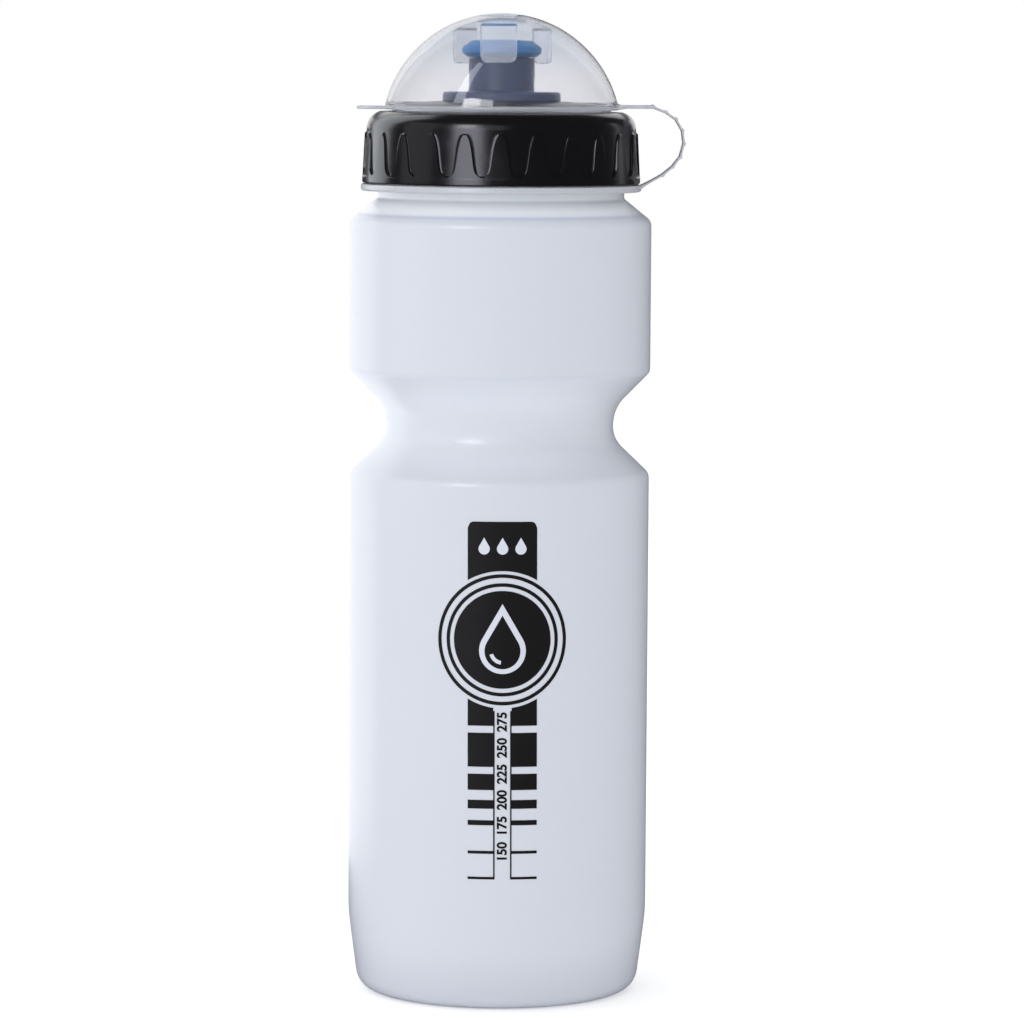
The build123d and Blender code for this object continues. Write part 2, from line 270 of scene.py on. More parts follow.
def noise(tree, scale, detail=3.0, stretch=(1, 1, 1)):
    """Noise on Object coordinates, so many cells to the metre, stretched along an axis if asked."""
    place = node(tree, "ShaderNodeTexCoord")
    mapping = node(tree, "ShaderNodeMapping", Scale=stretch)
    cloud = node(tree, "ShaderNodeTexNoise", Scale=scale, Detail=detail)
    tree.links.new(place.outputs["Object"], mapping.inputs["Vector"])
    tree.links.new(mapping.outputs["Vector"], cloud.inputs["Vector"])
    return cloud.outputs["Fac"]


def spread(tree, value, low, high):
    """Map noise, which mostly lies between 0.3 and 0.7, on to a range of values."""
    ramp = node(tree, "ShaderNodeMapRange")
    for key, number in (("From Min", 0.3), ("From Max", 0.7), ("To Min", low), ("To Max", high)):
        ramp.inputs[key].default_value = number
    tree.links.new(value, ramp.inputs["Value"])
    return ramp.outputs["Result"]


def plastic(name, colour, second, gloss, grain, grain_depth, cloud=28.0):
    """A moulded plastic: two close colours mixed by a broad noise, a range of roughness and a grain.

    gloss is (lowest, highest) roughness, grain is noise cells to the metre and grain_depth is the
    bump's height in metres.
    """
    material = bpy.data.materials.new(name)
    material.use_nodes = True
    tree = material.node_tree
    shader = tree.nodes["Principled BSDF"]
    broad = noise(tree, cloud)
    mix = node(tree, "ShaderNodeMix", data_type="RGBA")
    factor, first_colour, second_colour = (mix.inputs[k] for k in MIX_INPUTS)
    first_colour.default_value = (*colour, 1)
    second_colour.default_value = (*second, 1)
    tree.links.new(broad, factor)
    tree.links.new(mix.outputs[MIX_RESULT], shader.inputs["Base Color"])
    tree.links.new(spread(tree, noise(tree, cloud * 5, 4.0), *gloss), shader.inputs["Roughness"])
    bump = node(tree, "ShaderNodeBump", Strength=0.6, Distance=grain_depth)
    tree.links.new(noise(tree, grain, 2.0), bump.inputs["Height"])
    tree.links.new(bump.outputs["Normal"], shader.inputs["Normal"])
    return material


def shader_of(material):
    """A material's Principled shader."""
    return material.node_tree.nodes["Principled BSDF"]


# %% [markdown]
# The squeeze body is natural polyethylene, blown thin. Light goes a little way into it and comes
# out again, which is what makes it look milky. Light and shade are also painted into its colour:
# the waist and the neck are painted lighter than the barrel, the neck more so under the cap, the
# foot is painted darker towards the floor, and painted shade draws a thin bluish line along the
# shoulder's corner and a fainter one at the top of the waist. Distance from the axis gives the
# first of these and height gives the rest, both from Object coordinates.

# %% Milky body plastic


def ramp_between(tree, value, start, end):
    """A smooth step of a value: 0 at start, 1 at end, whichever of the two is larger."""
    ramp = node(tree, "ShaderNodeMapRange", interpolation_type="SMOOTHSTEP")
    ramp.inputs["From Min"].default_value = start
    ramp.inputs["From Max"].default_value = end
    tree.links.new(value, ramp.inputs["Value"])
    return ramp.outputs["Result"]


def tint(tree, shader, factor, colour, strength):
    """Mix the shader's present base colour with another, by a factor times a strength."""
    before = shader.inputs["Base Color"].links[0].from_socket
    share = node(tree, "ShaderNodeMath", operation="MULTIPLY")
    share.inputs[1].default_value = strength
    mix = node(tree, "ShaderNodeMix", data_type="RGBA")
    mix_factor, mix_first, mix_second = (mix.inputs[k] for k in MIX_INPUTS)
    mix_second.default_value = (*colour, 1)
    tree.links.new(factor, share.inputs[0])
    tree.links.new(share.outputs[0], mix_factor)
    tree.links.new(before, mix_first)
    tree.links.new(mix.outputs[MIX_RESULT], shader.inputs["Base Color"])


def axis_distance(tree):
    """Distance of the shaded point from the bottle's axis: the length of (x, y, 0)."""
    place = node(tree, "ShaderNodeTexCoord")
    flat = node(tree, "ShaderNodeVectorMath", operation="MULTIPLY")
    flat.inputs[1].default_value = (1, 1, 0)
    length = node(tree, "ShaderNodeVectorMath", operation="LENGTH")
    tree.links.new(place.outputs["Object"], flat.inputs[0])
    tree.links.new(flat.outputs["Vector"], length.inputs[0])
    return length.outputs["Value"]


def object_height(tree):
    """Height of the shaded point: the Z of its Object coordinate, in metres."""
    place = node(tree, "ShaderNodeTexCoord")
    split = node(tree, "ShaderNodeSeparateXYZ")
    tree.links.new(place.outputs["Object"], split.inputs[0])
    return split.outputs["Z"]


def height_band(tree, centre, half):
    """1 at a height, falling smoothly to 0 at half a width above and below it, in metres."""
    off = node(tree, "ShaderNodeMath", operation="SUBTRACT")
    off.inputs[1].default_value = centre
    size = node(tree, "ShaderNodeMath", operation="ABSOLUTE")
    tree.links.new(object_height(tree), off.inputs[0])
    tree.links.new(off.outputs[0], size.inputs[0])
    return ramp_between(tree, size.outputs[0], half, 0.0)


milky = plastic(
    "milky_polyethylene", (0.640, 0.672, 0.750), (0.658, 0.690, 0.766), (0.33, 0.42), 900, 0.00002, 14.0
)
shader = shader_of(milky)
tree = milky.node_tree
height = object_height(tree)
# Painted light: the waist and neck are painted lighter, by distance from the axis, to lift the shade that falls
# on them.
waist_and_neck_painted_light = ramp_between(tree, axis_distance(tree), 0.0362, 0.0285)
# Painted light: above the shoulder's corner the cone and neck are painted lighter still, to lift the shade under
# the cap.
neck = ramp_between(tree, height, 0.1895, 0.1925)
# Painted shade: the foot is painted darker towards the floor.
foot = ramp_between(tree, height, 0.0160, 0.0020)
# Painted shade: a thin bluish dark line along the shoulder's corner, and a fainter one at the top of the waist.
shoulder_painted_shade = height_band(tree, 0.1906, 0.0007)
waist_top_painted_shade = height_band(tree, 0.1527, 0.001)
# Painted light and shade laid into the base colour: lighter waist and neck, darker foot, dark lines at two
# corners.
tint(tree, shader, waist_and_neck_painted_light, (0.71, 0.745, 0.82), 1.0)
tint(tree, shader, neck, (0.85, 0.89, 0.96), 1.0)
tint(tree, shader, foot, (0.45, 0.48, 0.55), 0.35)
tint(tree, shader, shoulder_painted_shade, (0.42, 0.47, 0.66), 0.50)
tint(tree, shader, waist_top_painted_shade, (0.42, 0.47, 0.66), 0.12)
shader.inputs["Specular IOR Level"].default_value = 0.1
shader.inputs["Coat Weight"].default_value = 1.0
shader.inputs["Coat Roughness"].default_value = 0.28
shader.inputs["Coat IOR"].default_value = 1.5
shader.inputs["Subsurface Weight"].default_value = 0.3
shader.inputs["Subsurface Radius"].default_value = (0.8, 0.9, 1.0)
shader.inputs["Subsurface Scale"].default_value = 0.0008
shader.inputs["IOR"].default_value = 1.51

# %% [markdown]
# The cap is black polypropylene with a satin, finely grained skin. The collar is the same plastic
# in a deep blue, and the mouthpiece is a softer one, so it is a little rougher and brighter.

# %% Cap, collar, mouthpiece and seal
cap_black = plastic(
    "satin_black", (0.0032, 0.0028, 0.0042), (0.005, 0.0045, 0.0062), (0.17, 0.24), 2600, 0.00002
)
shader_of(cap_black).inputs["IOR"].default_value = 1.5
collar_blue = plastic(
    "deep_blue", (0.013, 0.033, 0.108), (0.016, 0.038, 0.120), (0.28, 0.36), 2600, 0.00002
)
tip_blue = plastic(
    "mouthpiece_blue", (0.012, 0.165, 0.42), (0.015, 0.19, 0.46), (0.34, 0.44), 2600, 0.00002
)
shader_of(tip_blue).inputs["Subsurface Weight"].default_value = 0.15
shader_of(tip_blue).inputs["Subsurface Scale"].default_value = 0.002
seal_pale = plastic("seal_pale", (0.72, 0.73, 0.72), (0.76, 0.77, 0.76), (0.5, 0.6), 1800, 0.00003)
ink_black = plastic(
    "ink_black", (0.009, 0.008, 0.009), (0.013, 0.012, 0.013), (0.42, 0.52), 3500, 0.00001
)
shader_of(ink_black).inputs["Specular IOR Level"].default_value = 0.1
ink_light = plastic(
    "ink_light", (0.625, 0.657, 0.75), (0.645, 0.674, 0.765), (0.42, 0.5), 3500, 0.00001
)

# %% [markdown]
# The dome is clear plastic with a slight haze. Glass in Blender blocks the lamps behind it, so
# what is under a glass dome goes dark. A Light Path node mends that: the rays that test for shade
# meet a plain see-through shader, and every other ray meets the real one. The top of the dome is
# painted a little darker with height, as painted shade, and the boss under it is bluer.

# %% Clear and hazy plastics


def see_through(name, colour, haze, gloss, shade, cells=60.0):
    """Clear plastic: mostly transmission, the rest a white haze, and a shade that lets lamps in."""
    material = plastic(name, colour, tuple(0.96 * c for c in colour), gloss, 900, 0.000004, cells)
    shader = shader_of(material)
    shader.inputs["Transmission Weight"].default_value = 1 - haze
    shader.inputs["IOR"].default_value = 1.49
    tree = material.node_tree
    clear = node(tree, "ShaderNodeBsdfTransparent", Color=(shade, shade, shade, 1))
    path = node(tree, "ShaderNodeLightPath")
    mix = node(tree, "ShaderNodeMixShader")
    tree.links.new(path.outputs["Is Shadow Ray"], mix.inputs[0])
    tree.links.new(shader.outputs[0], mix.inputs[1])
    tree.links.new(clear.outputs[0], mix.inputs[2])
    tree.links.new(mix.outputs[0], tree.nodes["Material Output"].inputs["Surface"])
    return material


clear_dome = see_through("clear_dome", (0.925, 0.93, 0.96), 0.006, (0.03, 0.06), 0.94)
tree = clear_dome.node_tree
# Painted shade: the dome's colour darkens a little with height towards its top.
crown_painted_shade = ramp_between(tree, object_height(tree), 0.2210, 0.2400)
tint(tree, shader_of(clear_dome), crown_painted_shade, (0.78, 0.81, 0.87), 1.0)
natural_strap = see_through("natural_strap", (0.64, 0.66, 0.71), 0.75, (0.30, 0.38), 0.6)
hazy_rim = see_through("hazy_rim", (0.84, 0.86, 0.92), 0.28, (0.15, 0.25), 0.8)
hazy_finger = see_through("hazy_finger", (0.92, 0.935, 0.965), 0.16, (0.06, 0.12), 0.9)
boss_clear = see_through("boss_clear", (0.37, 0.55, 0.77), 0.2, (0.1, 0.2), 0.9)

# %% [markdown]
# ## The squeeze body
#
# A blown bottle is one hollow skin. The profile goes from the middle of the pushed-up base, out
# over the ring it stands on, up the barrel, in and out again at the grip waist, and over the cone
# shoulder to the neck. It turns over at the rim and comes back down inside, one wall further in.
# The two halves of the mould leave a fine line on each side, at the strap and opposite it.

# %% The body's profile
BODY_WALL = 1.0
NECK_R = 29.5
NECK_BORE_R = 28.2
BODY_CORNERS = [
    (0, 2.6),
    (17.0, 2.6),
    (21.0, 0),
    (34.1, 0),
    (BARREL_R, 19.0),
    (BARREL_R, 127.6),
    (27.75, 136.0),
    (27.75, 143.2),
    (UPPER_R, 152.4),
    (UPPER_R, 189.15),
    (30.0, 194.6),
    (30.0, 198.5),
]
BODY_RADII = [2.0, 1.0, 5.0, 40.0, 3.0, 7.0, 9.9, 1.5, 2.5, 0.8]
outside = rounded(BODY_CORNERS, BODY_RADII, step=4.0, arc_degrees=6.0)
neck_outside = rounded(
    [(NECK_R, 198.6), (NECK_R, NECK_TOP), (NECK_BORE_R, NECK_TOP), (NECK_BORE_R, 195.0)],
    [0.4, 0.4],
    step=0.3,
)
inner_corners, inner_radii = inset(BODY_CORNERS[:-1], BODY_RADII[:-1], BODY_WALL)
inside = rounded(inner_corners[:-1], inner_radii[:-1], step=5.0, arc_degrees=9.0)
body_profile = np.vstack([outside, neck_outside, inside[::-1]])
print(len(body_profile), "stations down the body")

# %% [markdown]
# The neck's thread is a ridge that climbs five millimetres a turn. At each angle its middle is at
# a known height, so the distance of a station from that height tells how far the ridge stands
# out: all of it near the middle, none beyond half its width, and a straight slope between.

# %% Thread ridges
LEAD = 5.0
THREAD_DEPTH = 1.5
TURNS = 1.3


def thread_height(z, angles, first_z, first_angle):
    """Height of a thread ridge at each height and angle, from 0 at its foot to 1 at its crest.

    The ridge's middle at angle a is first_z + lead * (a - first_angle) / one turn, for as many
    turns as there are; both ends fade out over a few degrees.
    """
    best = np.zeros(np.broadcast(z, angles).shape)
    for lap in range(3):
        travelled = (angles - first_angle) % (2 * np.pi) + lap * 2 * np.pi
        middle = first_z + LEAD * travelled / (2 * np.pi)
        slope = np.clip((1.1 - np.abs(z - middle)) / 0.55, 0, 1)
        fade = np.clip(travelled / 0.15, 0, 1) * np.clip((TURNS * 2 * np.pi - travelled) / 0.15, 0, 1)
        best = np.maximum(best, slope * fade)
    return best


SEAM_ANGLE = math.radians(0.35)
around = even_angles(216)
seams = np.array([k * np.pi + s * SEAM_ANGLE for k in (0, 1) for s in (-1, -0.4, 0.4, 1)])
around = np.unique(np.round(np.concatenate([around, seams % (2 * np.pi)]), 6))
body_grid = turned(body_profile, around)
on_neck = (body_profile[:, 0, None] > NECK_R - 0.05) & (body_profile[:, 1, None] > 198.6)
ridge = thread_height(body_profile[:, 1, None], around, 202.0, 0.0) * on_neck
to_seam = np.abs((around + np.pi / 2) % np.pi - np.pi / 2)
outer_rows = np.arange(len(body_profile))[:, None] < len(outside)
seam = np.clip((SEAM_ANGLE - to_seam) / (0.6 * SEAM_ANGLE), 0, 1) * outer_rows
seam = seam * (body_profile[:, 1, None] > 3.0) * (body_profile[:, 0, None] > 22.0)
grow = 1 + (ridge * THREAD_DEPTH + seam * 0.06) / np.maximum(body_profile[:, 0, None], 1.0)
body_grid[..., :2] *= grow[..., None]
body = make_piece("squeeze_body", body_grid)
dress(body, "bottle", "squeeze_body", milky, "bottle_body")

# %% [markdown]
# ## The screw cap
#
# The cap is one moulding, so it is one surface: outside skirt, top, seat ring, cone and hub, then
# back through the bore and down the threaded inside. Its grip teeth are bells, narrow and round
# at the tip and flaring into a band at the foot. Straight columns would cut a sloping tooth into
# steps, so the columns bend: in each pitch some are kept on the tooth, some on its flank and the
# rest in the hollow, and they close in as the tooth narrows.

# %% The cap's profile
CAP_TOP = 215.7
TOOTH_COUNT = 24
TOOTH_HEIGHT = 0.65
BAND_TOP = CAP_BOTTOM + 2.0
TOOTH_TOP = CAP_BOTTOM + 12.5
TOOTH_TOP_R = 33.3
TOOTH_R = 33.5
CAP_BORE_R = 31.4
CEILING = 213.3
SEAT_R = 25.5
HUB_BORE_R = 9.9
FLOOR_LOW = CAP_BOTTOM_R - TOOTH_HEIGHT
FLOOR_HIGH = TOOTH_TOP_R - TOOTH_HEIGHT
skirt = rounded(
    [
        (CAP_BORE_R + 0.6, CAP_BOTTOM),
        (CAP_BOTTOM_R, CAP_BOTTOM),
        (CAP_BOTTOM_R - 0.04, BAND_TOP - 0.3),
        (FLOOR_LOW, BAND_TOP + 0.35),
        (FLOOR_HIGH, CAP_TOP),
        (SEAT_R, CAP_TOP),
        (SEAT_R, CAP_TOP + 0.9),
        (SEAT_R - 1.1, CAP_TOP + 0.9),
        (SEAT_R - 1.1, 216.3),
        (15.0, 218.05),
        (HUB_BORE_R, 218.05),
        (HUB_BORE_R, 214.0),
        (15.0, 214.0),
        (16.0, CEILING),
        (CAP_BORE_R, CEILING),
        (CAP_BORE_R, CAP_BOTTOM),
        (CAP_BORE_R + 0.6, CAP_BOTTOM),
    ],
    [0.4, 0.3, 0.3, 4.2, 0.25, 0.3, 0.3, 0.3, 0.8, 0.2, 0.2, 0.3, 0.2, 0.8, 0.3],
    step=0.35,
    arc_degrees=15.0,
)[:-1]
flat = np.abs(np.diff(skirt[:, 1], append=skirt[0, 1])) < 0.02
keep = ~(flat & (np.arange(len(skirt)) % 6 != 0))
skirt = skirt[keep]
print(len(skirt), "stations round the cap's wall")

# %% Bell-shaped teeth
TOOTH_SHAPE = np.array([
    (0.0, 0.0), (0.12, 0.2), (0.4, 0.45), (0.9, 0.74), (1.8, 1.1), (3.5, 1.52), (5.6, 1.83),
    (7.6, 2.1), (8.8, 2.35), (9.4, 2.62), (9.8, 2.95), (10.1, 3.35), (10.3, 3.75), (10.45, 4.6),
])


def tooth_half_width(z):
    """Half of a tooth's width at a height: read from the bell shape, by distance below the tip."""
    below = TOOTH_TOP - z
    return np.interp(below, TOOTH_SHAPE[:, 0], TOOTH_SHAPE[:, 1])


def smooth_step(x):
    """0 below 0 and 1 above 1, with a soft S between: 3 x squared less 2 x cubed."""
    x = np.clip(x, 0, 1)
    return x * x * (3 - 2 * x)


def cap_surface(profile):
    """The cap's points: turned, with teeth raised on the skirt and a thread on the bore.

    In one pitch the columns sit at shares of the tooth's half width on the tooth, then just
    outside it, then evenly over the hollow. The height of the skin is 1 on the tooth and 0 in
    the hollow, with a soft step of a quarter of a millimetre across the flank.
    """
    pitch = 2 * np.pi / TOOTH_COUNT
    r, z = profile[:, 0, None], profile[:, 1, None]
    outer = (np.arange(len(profile)) < np.argmax(profile[:, 1] > CAP_TOP - 0.05))[:, None]
    on_skirt = outer & (z > BAND_TOP - 0.4)
    half = np.where(on_skirt, np.maximum(tooth_half_width(z), 0.35), 2.0)
    half_pitch = pitch / 2 * TOOTH_R
    half = np.minimum(half, half_pitch - 0.45)
    on_tooth = half * np.array([0.0, 0.35, 0.7, 0.92])
    on_flank = half + np.array([0.0, 0.09, 0.18, 0.27])
    foot = half + 0.27
    in_hollow = foot + (half_pitch - foot) * np.array([0.25, 0.6, 1.0])
    right = np.concatenate([on_tooth, on_flank, in_hollow], 1)
    across = np.concatenate([-right[:, -2:0:-1], right], 1)
    middle = np.arange(TOOTH_COUNT) * pitch - np.pi / 2
    angles = (middle[None, :, None] + across[:, None, :] / TOOTH_R).reshape(len(profile), -1)
    distance = np.abs(np.broadcast_to(across[:, None, :], (len(profile), TOOTH_COUNT, across.shape[1])))
    distance = distance.reshape(len(profile), -1)
    side = smooth_step(1 - (distance - np.maximum(tooth_half_width(z), 0.0) + 0.02) / 0.24)
    tip = smooth_step((TOOTH_TOP - z) / 0.5)
    raised = TOOTH_HEIGHT * side * tip * on_skirt
    room = np.maximum(CAP_BOTTOM_R - 0.05 * (z - CAP_BOTTOM) - r, 0)
    raised = np.minimum(raised, room)
    in_bore = (np.abs(r - CAP_BORE_R) < 0.02) & (z < CEILING - 1)
    groove = thread_height(z, angles, 200.75, np.pi / 2) * in_bore * THREAD_DEPTH
    reach = r + raised - groove
    return np.stack([reach * np.cos(angles), reach * np.sin(angles), z + 0 * angles], -1)


cap = make_piece("toothed_cap", cap_surface(skirt), loop_rows=True, weld=False)
dress(cap, "cap", "cap_plastic", cap_black, "screw_cap")

# %% [markdown]
# ## Seal, collar and mouthpiece
#
# These are small turned pieces with soft edges. Moulded parts never have a knife edge, and the
# thin bright line on a rounded edge is what shows the eye where one piece ends. The collar holds
# a valve post on three spokes, and the mouthpiece slides up it to open the hole.

# %% Turned fittings


def turned_piece(name, corners, radii, body, slot, material, nodes=(), count=128, loop=True, step=1.0):
    """A turned piece: corners and radii to a rounded profile, then carried round the axis."""
    profile = rounded(corners, radii, step=step, arc_degrees=12.0)
    if loop:
        profile = profile[:-1]
    grid = turned(profile, even_angles(count))
    piece = make_piece(name, grid, loop_rows=loop)
    return dress(piece, body, slot, material, *nodes)


def turned_ring(inner, outer, low, high):
    """Corners of a flat ring's section, begun and ended in the middle of its foot."""
    middle = (inner + outer) / 2
    return [(middle, low), (outer, low), (outer, high), (inner, high), (inner, low), (middle, low)]


SEAL_TOP = top("cap_seal")
SEAL_BOTTOM = bottom("cap_seal")
turned_piece(
    "cap_washer",
    turned_ring(27.8, 31.1, SEAL_BOTTOM, SEAL_TOP),
    [0.3, 0.3, 0.3, 0.3],
    "seal",
    "seal_rubber",
    seal_pale,
    ["cap_seal"],
)

BRIM_R = radius("spout_collar")
BRIM_BOTTOM = 218.1
BRIM_TOP = 220.4
COLLAR_R = 8.0
COLLAR_TOP = 228.6
SPIGOT_BOTTOM = bottom("spout_collar")
turned_piece(
    "spout_brim",
    [
        (8.5, SPIGOT_BOTTOM),
        (10.35, SPIGOT_BOTTOM),
        (10.35, 213.9),
        (9.85, 213.9),
        (9.85, BRIM_BOTTOM),
        (BRIM_R, BRIM_BOTTOM),
        (BRIM_R, BRIM_TOP),
        (COLLAR_R, BRIM_TOP),
        (COLLAR_R, COLLAR_TOP),
        (6.75, COLLAR_TOP),
        (6.75, 222.2),
        (7.25, 222.2),
        (7.25, SPIGOT_BOTTOM),
        (8.5, SPIGOT_BOTTOM),
    ],
    [0.2, 0.2, 0.1, 0.1, 0.3, 0.8, 0.5, 0.3, 0.3, 0.1, 0.1, 0.2],
    "cap",
    "collar_plastic",
    collar_blue,
    ["spout_collar"],
)
turned_piece(
    "valve_post",
    [(0, SPIGOT_BOTTOM), (3.2, SPIGOT_BOTTOM), (3.2, 229.4), (2.4, 230.2), (2.4, 232.2), (0, 232.2)],
    [0.3, 0.6, 0.6, 0.6],
    "cap",
    "collar_plastic",
    collar_blue,
    loop=False,
    count=64,
)

# %% Three spokes under the post
SPOKE_TOP = 214.8


def rounded_bar(length, width, height, radius_mm, count=24):
    """A bar along X: a rounded rectangle carried from end to end, with each end drawn to a point.

    The section is a superellipse: cosine and sine each raised to a small power, which makes flat
    sides with soft corners.
    """
    t = even_angles(count)
    c, s = np.cos(t), np.sin(t)
    power = 2 * radius_mm / min(width, height)
    y = np.sign(c) * np.abs(c) ** power * width / 2
    z = np.sign(s) * np.abs(s) ** power * height / 2
    x = np.array([0, 0, radius_mm, length - radius_mm, length, length])
    size = np.array([0, 0.9, 1, 1, 0.9, 0])
    return np.stack([x[:, None] + 0 * y, size[:, None] * y, size[:, None] * z], -1)


def about_z(grid, degrees):
    """A grid of points turned about the vertical axis."""
    a = math.radians(degrees)
    spin = np.array([[math.cos(a), -math.sin(a), 0], [math.sin(a), math.cos(a), 0], [0, 0, 1]])
    return grid @ spin.T


spoke = rounded_bar(5.2, 2.2, SPOKE_TOP - SPIGOT_BOTTOM, 0.3)
spoke = spoke + np.array([2.6, 0, (SPOKE_TOP + SPIGOT_BOTTOM) / 2])
spokes = make_piece("valve_spokes", [about_z(spoke, a) for a in (0, 120, 240)])
dress(spokes, "cap", "collar_plastic", collar_blue)

# %% The mouthpiece and its stem
STEM_TOP = top("nozzle_stem")
STEM_BOTTOM = bottom("nozzle_stem")
turned_piece(
    "spout_stem",
    [
        (6.0, STEM_BOTTOM),
        (7.16, STEM_BOTTOM),
        (7.16, STEM_BOTTOM + 1.2),
        (6.66, STEM_BOTTOM + 1.2),
        (6.66, STEM_TOP),
        (5.0, STEM_TOP),
        (5.0, STEM_BOTTOM),
        (6.0, STEM_BOTTOM),
    ],
    [0.2, 0.2, 0.1, 0.2, 0.2, 0.2],
    "nozzle",
    "collar_plastic",
    collar_blue,
    ["nozzle_stem"],
)
TIP_TOP = top("nozzle_tip")
TIP_BOTTOM = bottom("nozzle_tip")
TIP_R = radius("nozzle_tip")
turned_piece(
    "mouthpiece",
    [
        (7.2, TIP_BOTTOM),
        (8.3, TIP_BOTTOM),
        (TIP_R, TIP_BOTTOM + 1.0),
        (TIP_R, 231.2),
        (7.4, TIP_TOP - 0.25),
        (4.0, TIP_TOP),
        (2.5, TIP_TOP),
        (2.5, STEM_TOP),
        (6.66, STEM_TOP),
        (6.66, TIP_BOTTOM),
        (7.2, TIP_BOTTOM),
    ],
    [0.3, 0.8, 0.9, 2.2, 1.5, 0.5, 0.3, 0.1, 0.2],
    "nozzle",
    "nozzle_soft",
    tip_blue,
    ["nozzle_tip"],
    step=0.5,
)

# %% [markdown]
# ## The dust dome
#
# Dome, rim, thumb tab, strap stub and the three fingers inside are one clear moulding. If they
# were separate closed shapes, every hidden face where two of them meet would show through the
# plastic. So they are one skin on a polar grid: each column is a half section at one angle, and
# the section changes with the angle. The rim's edge runs out to the tab and the stub, and the
# ceiling drops to the fingers' ends.

# %% Angles that matter on the dome
DOME_R = 29.2
DOME_WALL = 1.0
DOME_Z = DOME_TOP - DOME_R
RIM_TOP = 216.85
RIM_BOTTOM = 216.05
RIM_R = 28.6
SPIGOT_R = 26.8
SPIGOT_INNER_R = 25.85
SPIGOT_Z = bottom("dust_dome")


def sphere_z(r, radius_mm):
    """Height of a sphere about the dome's centre at distance r from the axis."""
    return DOME_Z + np.sqrt(radius_mm**2 - r**2)


TAB_END = -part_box("dust_dome")[0].x / MM
TAB_HALF = 6.0
STUB_HALF = 4.0
STUB_END = 36.7
FINGER_R = 12.25
FINGER_INNER_R = 11.0
FINGER_MIDDLE_R = 11.6
FINGER_BOTTOM = 227.3
FINGER_HALF = math.asin(4.2 / 11.7)
FINGER_CORNER = 1.8
FINGER_EDGE = 0.2
FINGER_COUNT = 3
FINGER_START = math.radians(-93.8)
STEEP = math.radians(0.03)
BOSS_R = 6.0
BOSS_BOTTOM = 237.48


def wrap(angle):
    """An angle brought into the half turn each side of zero."""
    return (angle + np.pi) % (2 * np.pi) - np.pi


def run_out(angle, end, half, corner):
    """How far a tongue reaches along a ray: its rounded end if the ray leaves by the end, its
    straight side at half / sin(angle) if it leaves by the side, and never less than the rim."""
    a = np.abs(wrap(angle))
    with np.errstate(divide="ignore"):
        by_end = end / np.maximum(np.cos(a), 1e-6)
        by_side = half / np.maximum(np.sin(a), 1e-6)
    reach = np.minimum(by_end, by_side)
    near = np.clip((np.minimum(by_end, by_side) * np.sin(a) - (half - corner)) / corner, 0, 1)
    reach = reach - (1 - np.sqrt(1 - near**2)) * corner * (by_end < by_side * 1.3)
    return np.where(a < np.pi / 2, np.maximum(reach, RIM_R), RIM_R)


corner_rays = []
for middle, half, end in ((np.pi, TAB_HALF, TAB_END), (0.0, STUB_HALF, STUB_END + 0.1)):
    low, high = math.atan(half / (end + 0.5)), math.asin(half / RIM_R)
    rays = np.concatenate([np.linspace(0, low, 10), np.linspace(low, high, 9)[1:], [high + 0.01]])
    corner_rays += [middle + rays, middle - rays]
corner = FINGER_CORNER / FINGER_MIDDLE_R
quarter = FINGER_HALF - corner * (1 - np.sin(np.linspace(0, np.pi / 2, 7)[1:]))
rays = np.concatenate([np.linspace(0, FINGER_HALF - corner, 6), quarter, [FINGER_HALF + STEEP]])
for k in range(FINGER_COUNT):
    middle = FINGER_START + k * 2 * np.pi / FINGER_COUNT
    corner_rays += [middle + rays, middle - rays]
dome_angles = np.concatenate([even_angles(144)] + corner_rays) % (2 * np.pi)
dome_angles = np.unique(np.round(dome_angles, 6))
keep = np.append(True, np.diff(dome_angles) > 0.0003)
dome_angles = dome_angles[keep]
print(len(dome_angles), "columns round the dome")

# %% [markdown]
# A finger's lower end has round corners, so its depth depends on how near the ray is to the
# finger's edge. Over the middle it is full; within one corner radius of the edge it shrinks as a
# quarter circle does; past the edge the ceiling is simply the inside of the sphere.

# %% The dome's half section at every angle


def finger_floor(angle, r):
    """Lowest point of the ceiling at this angle in the fingers' ring: finger end or bare dome."""
    share = 2 * np.pi / FINGER_COUNT
    off = np.abs((angle - FINGER_START + share / 2) % share - share / 2)
    near = np.clip((off - FINGER_HALF) * FINGER_MIDDLE_R / FINGER_CORNER + 1, 0, 1)
    foot = FINGER_BOTTOM + FINGER_CORNER * (1 - np.sqrt(1 - near**2))
    return np.where(off <= FINGER_HALF + 1e-6, foot, sphere_z(r, DOME_R - DOME_WALL))


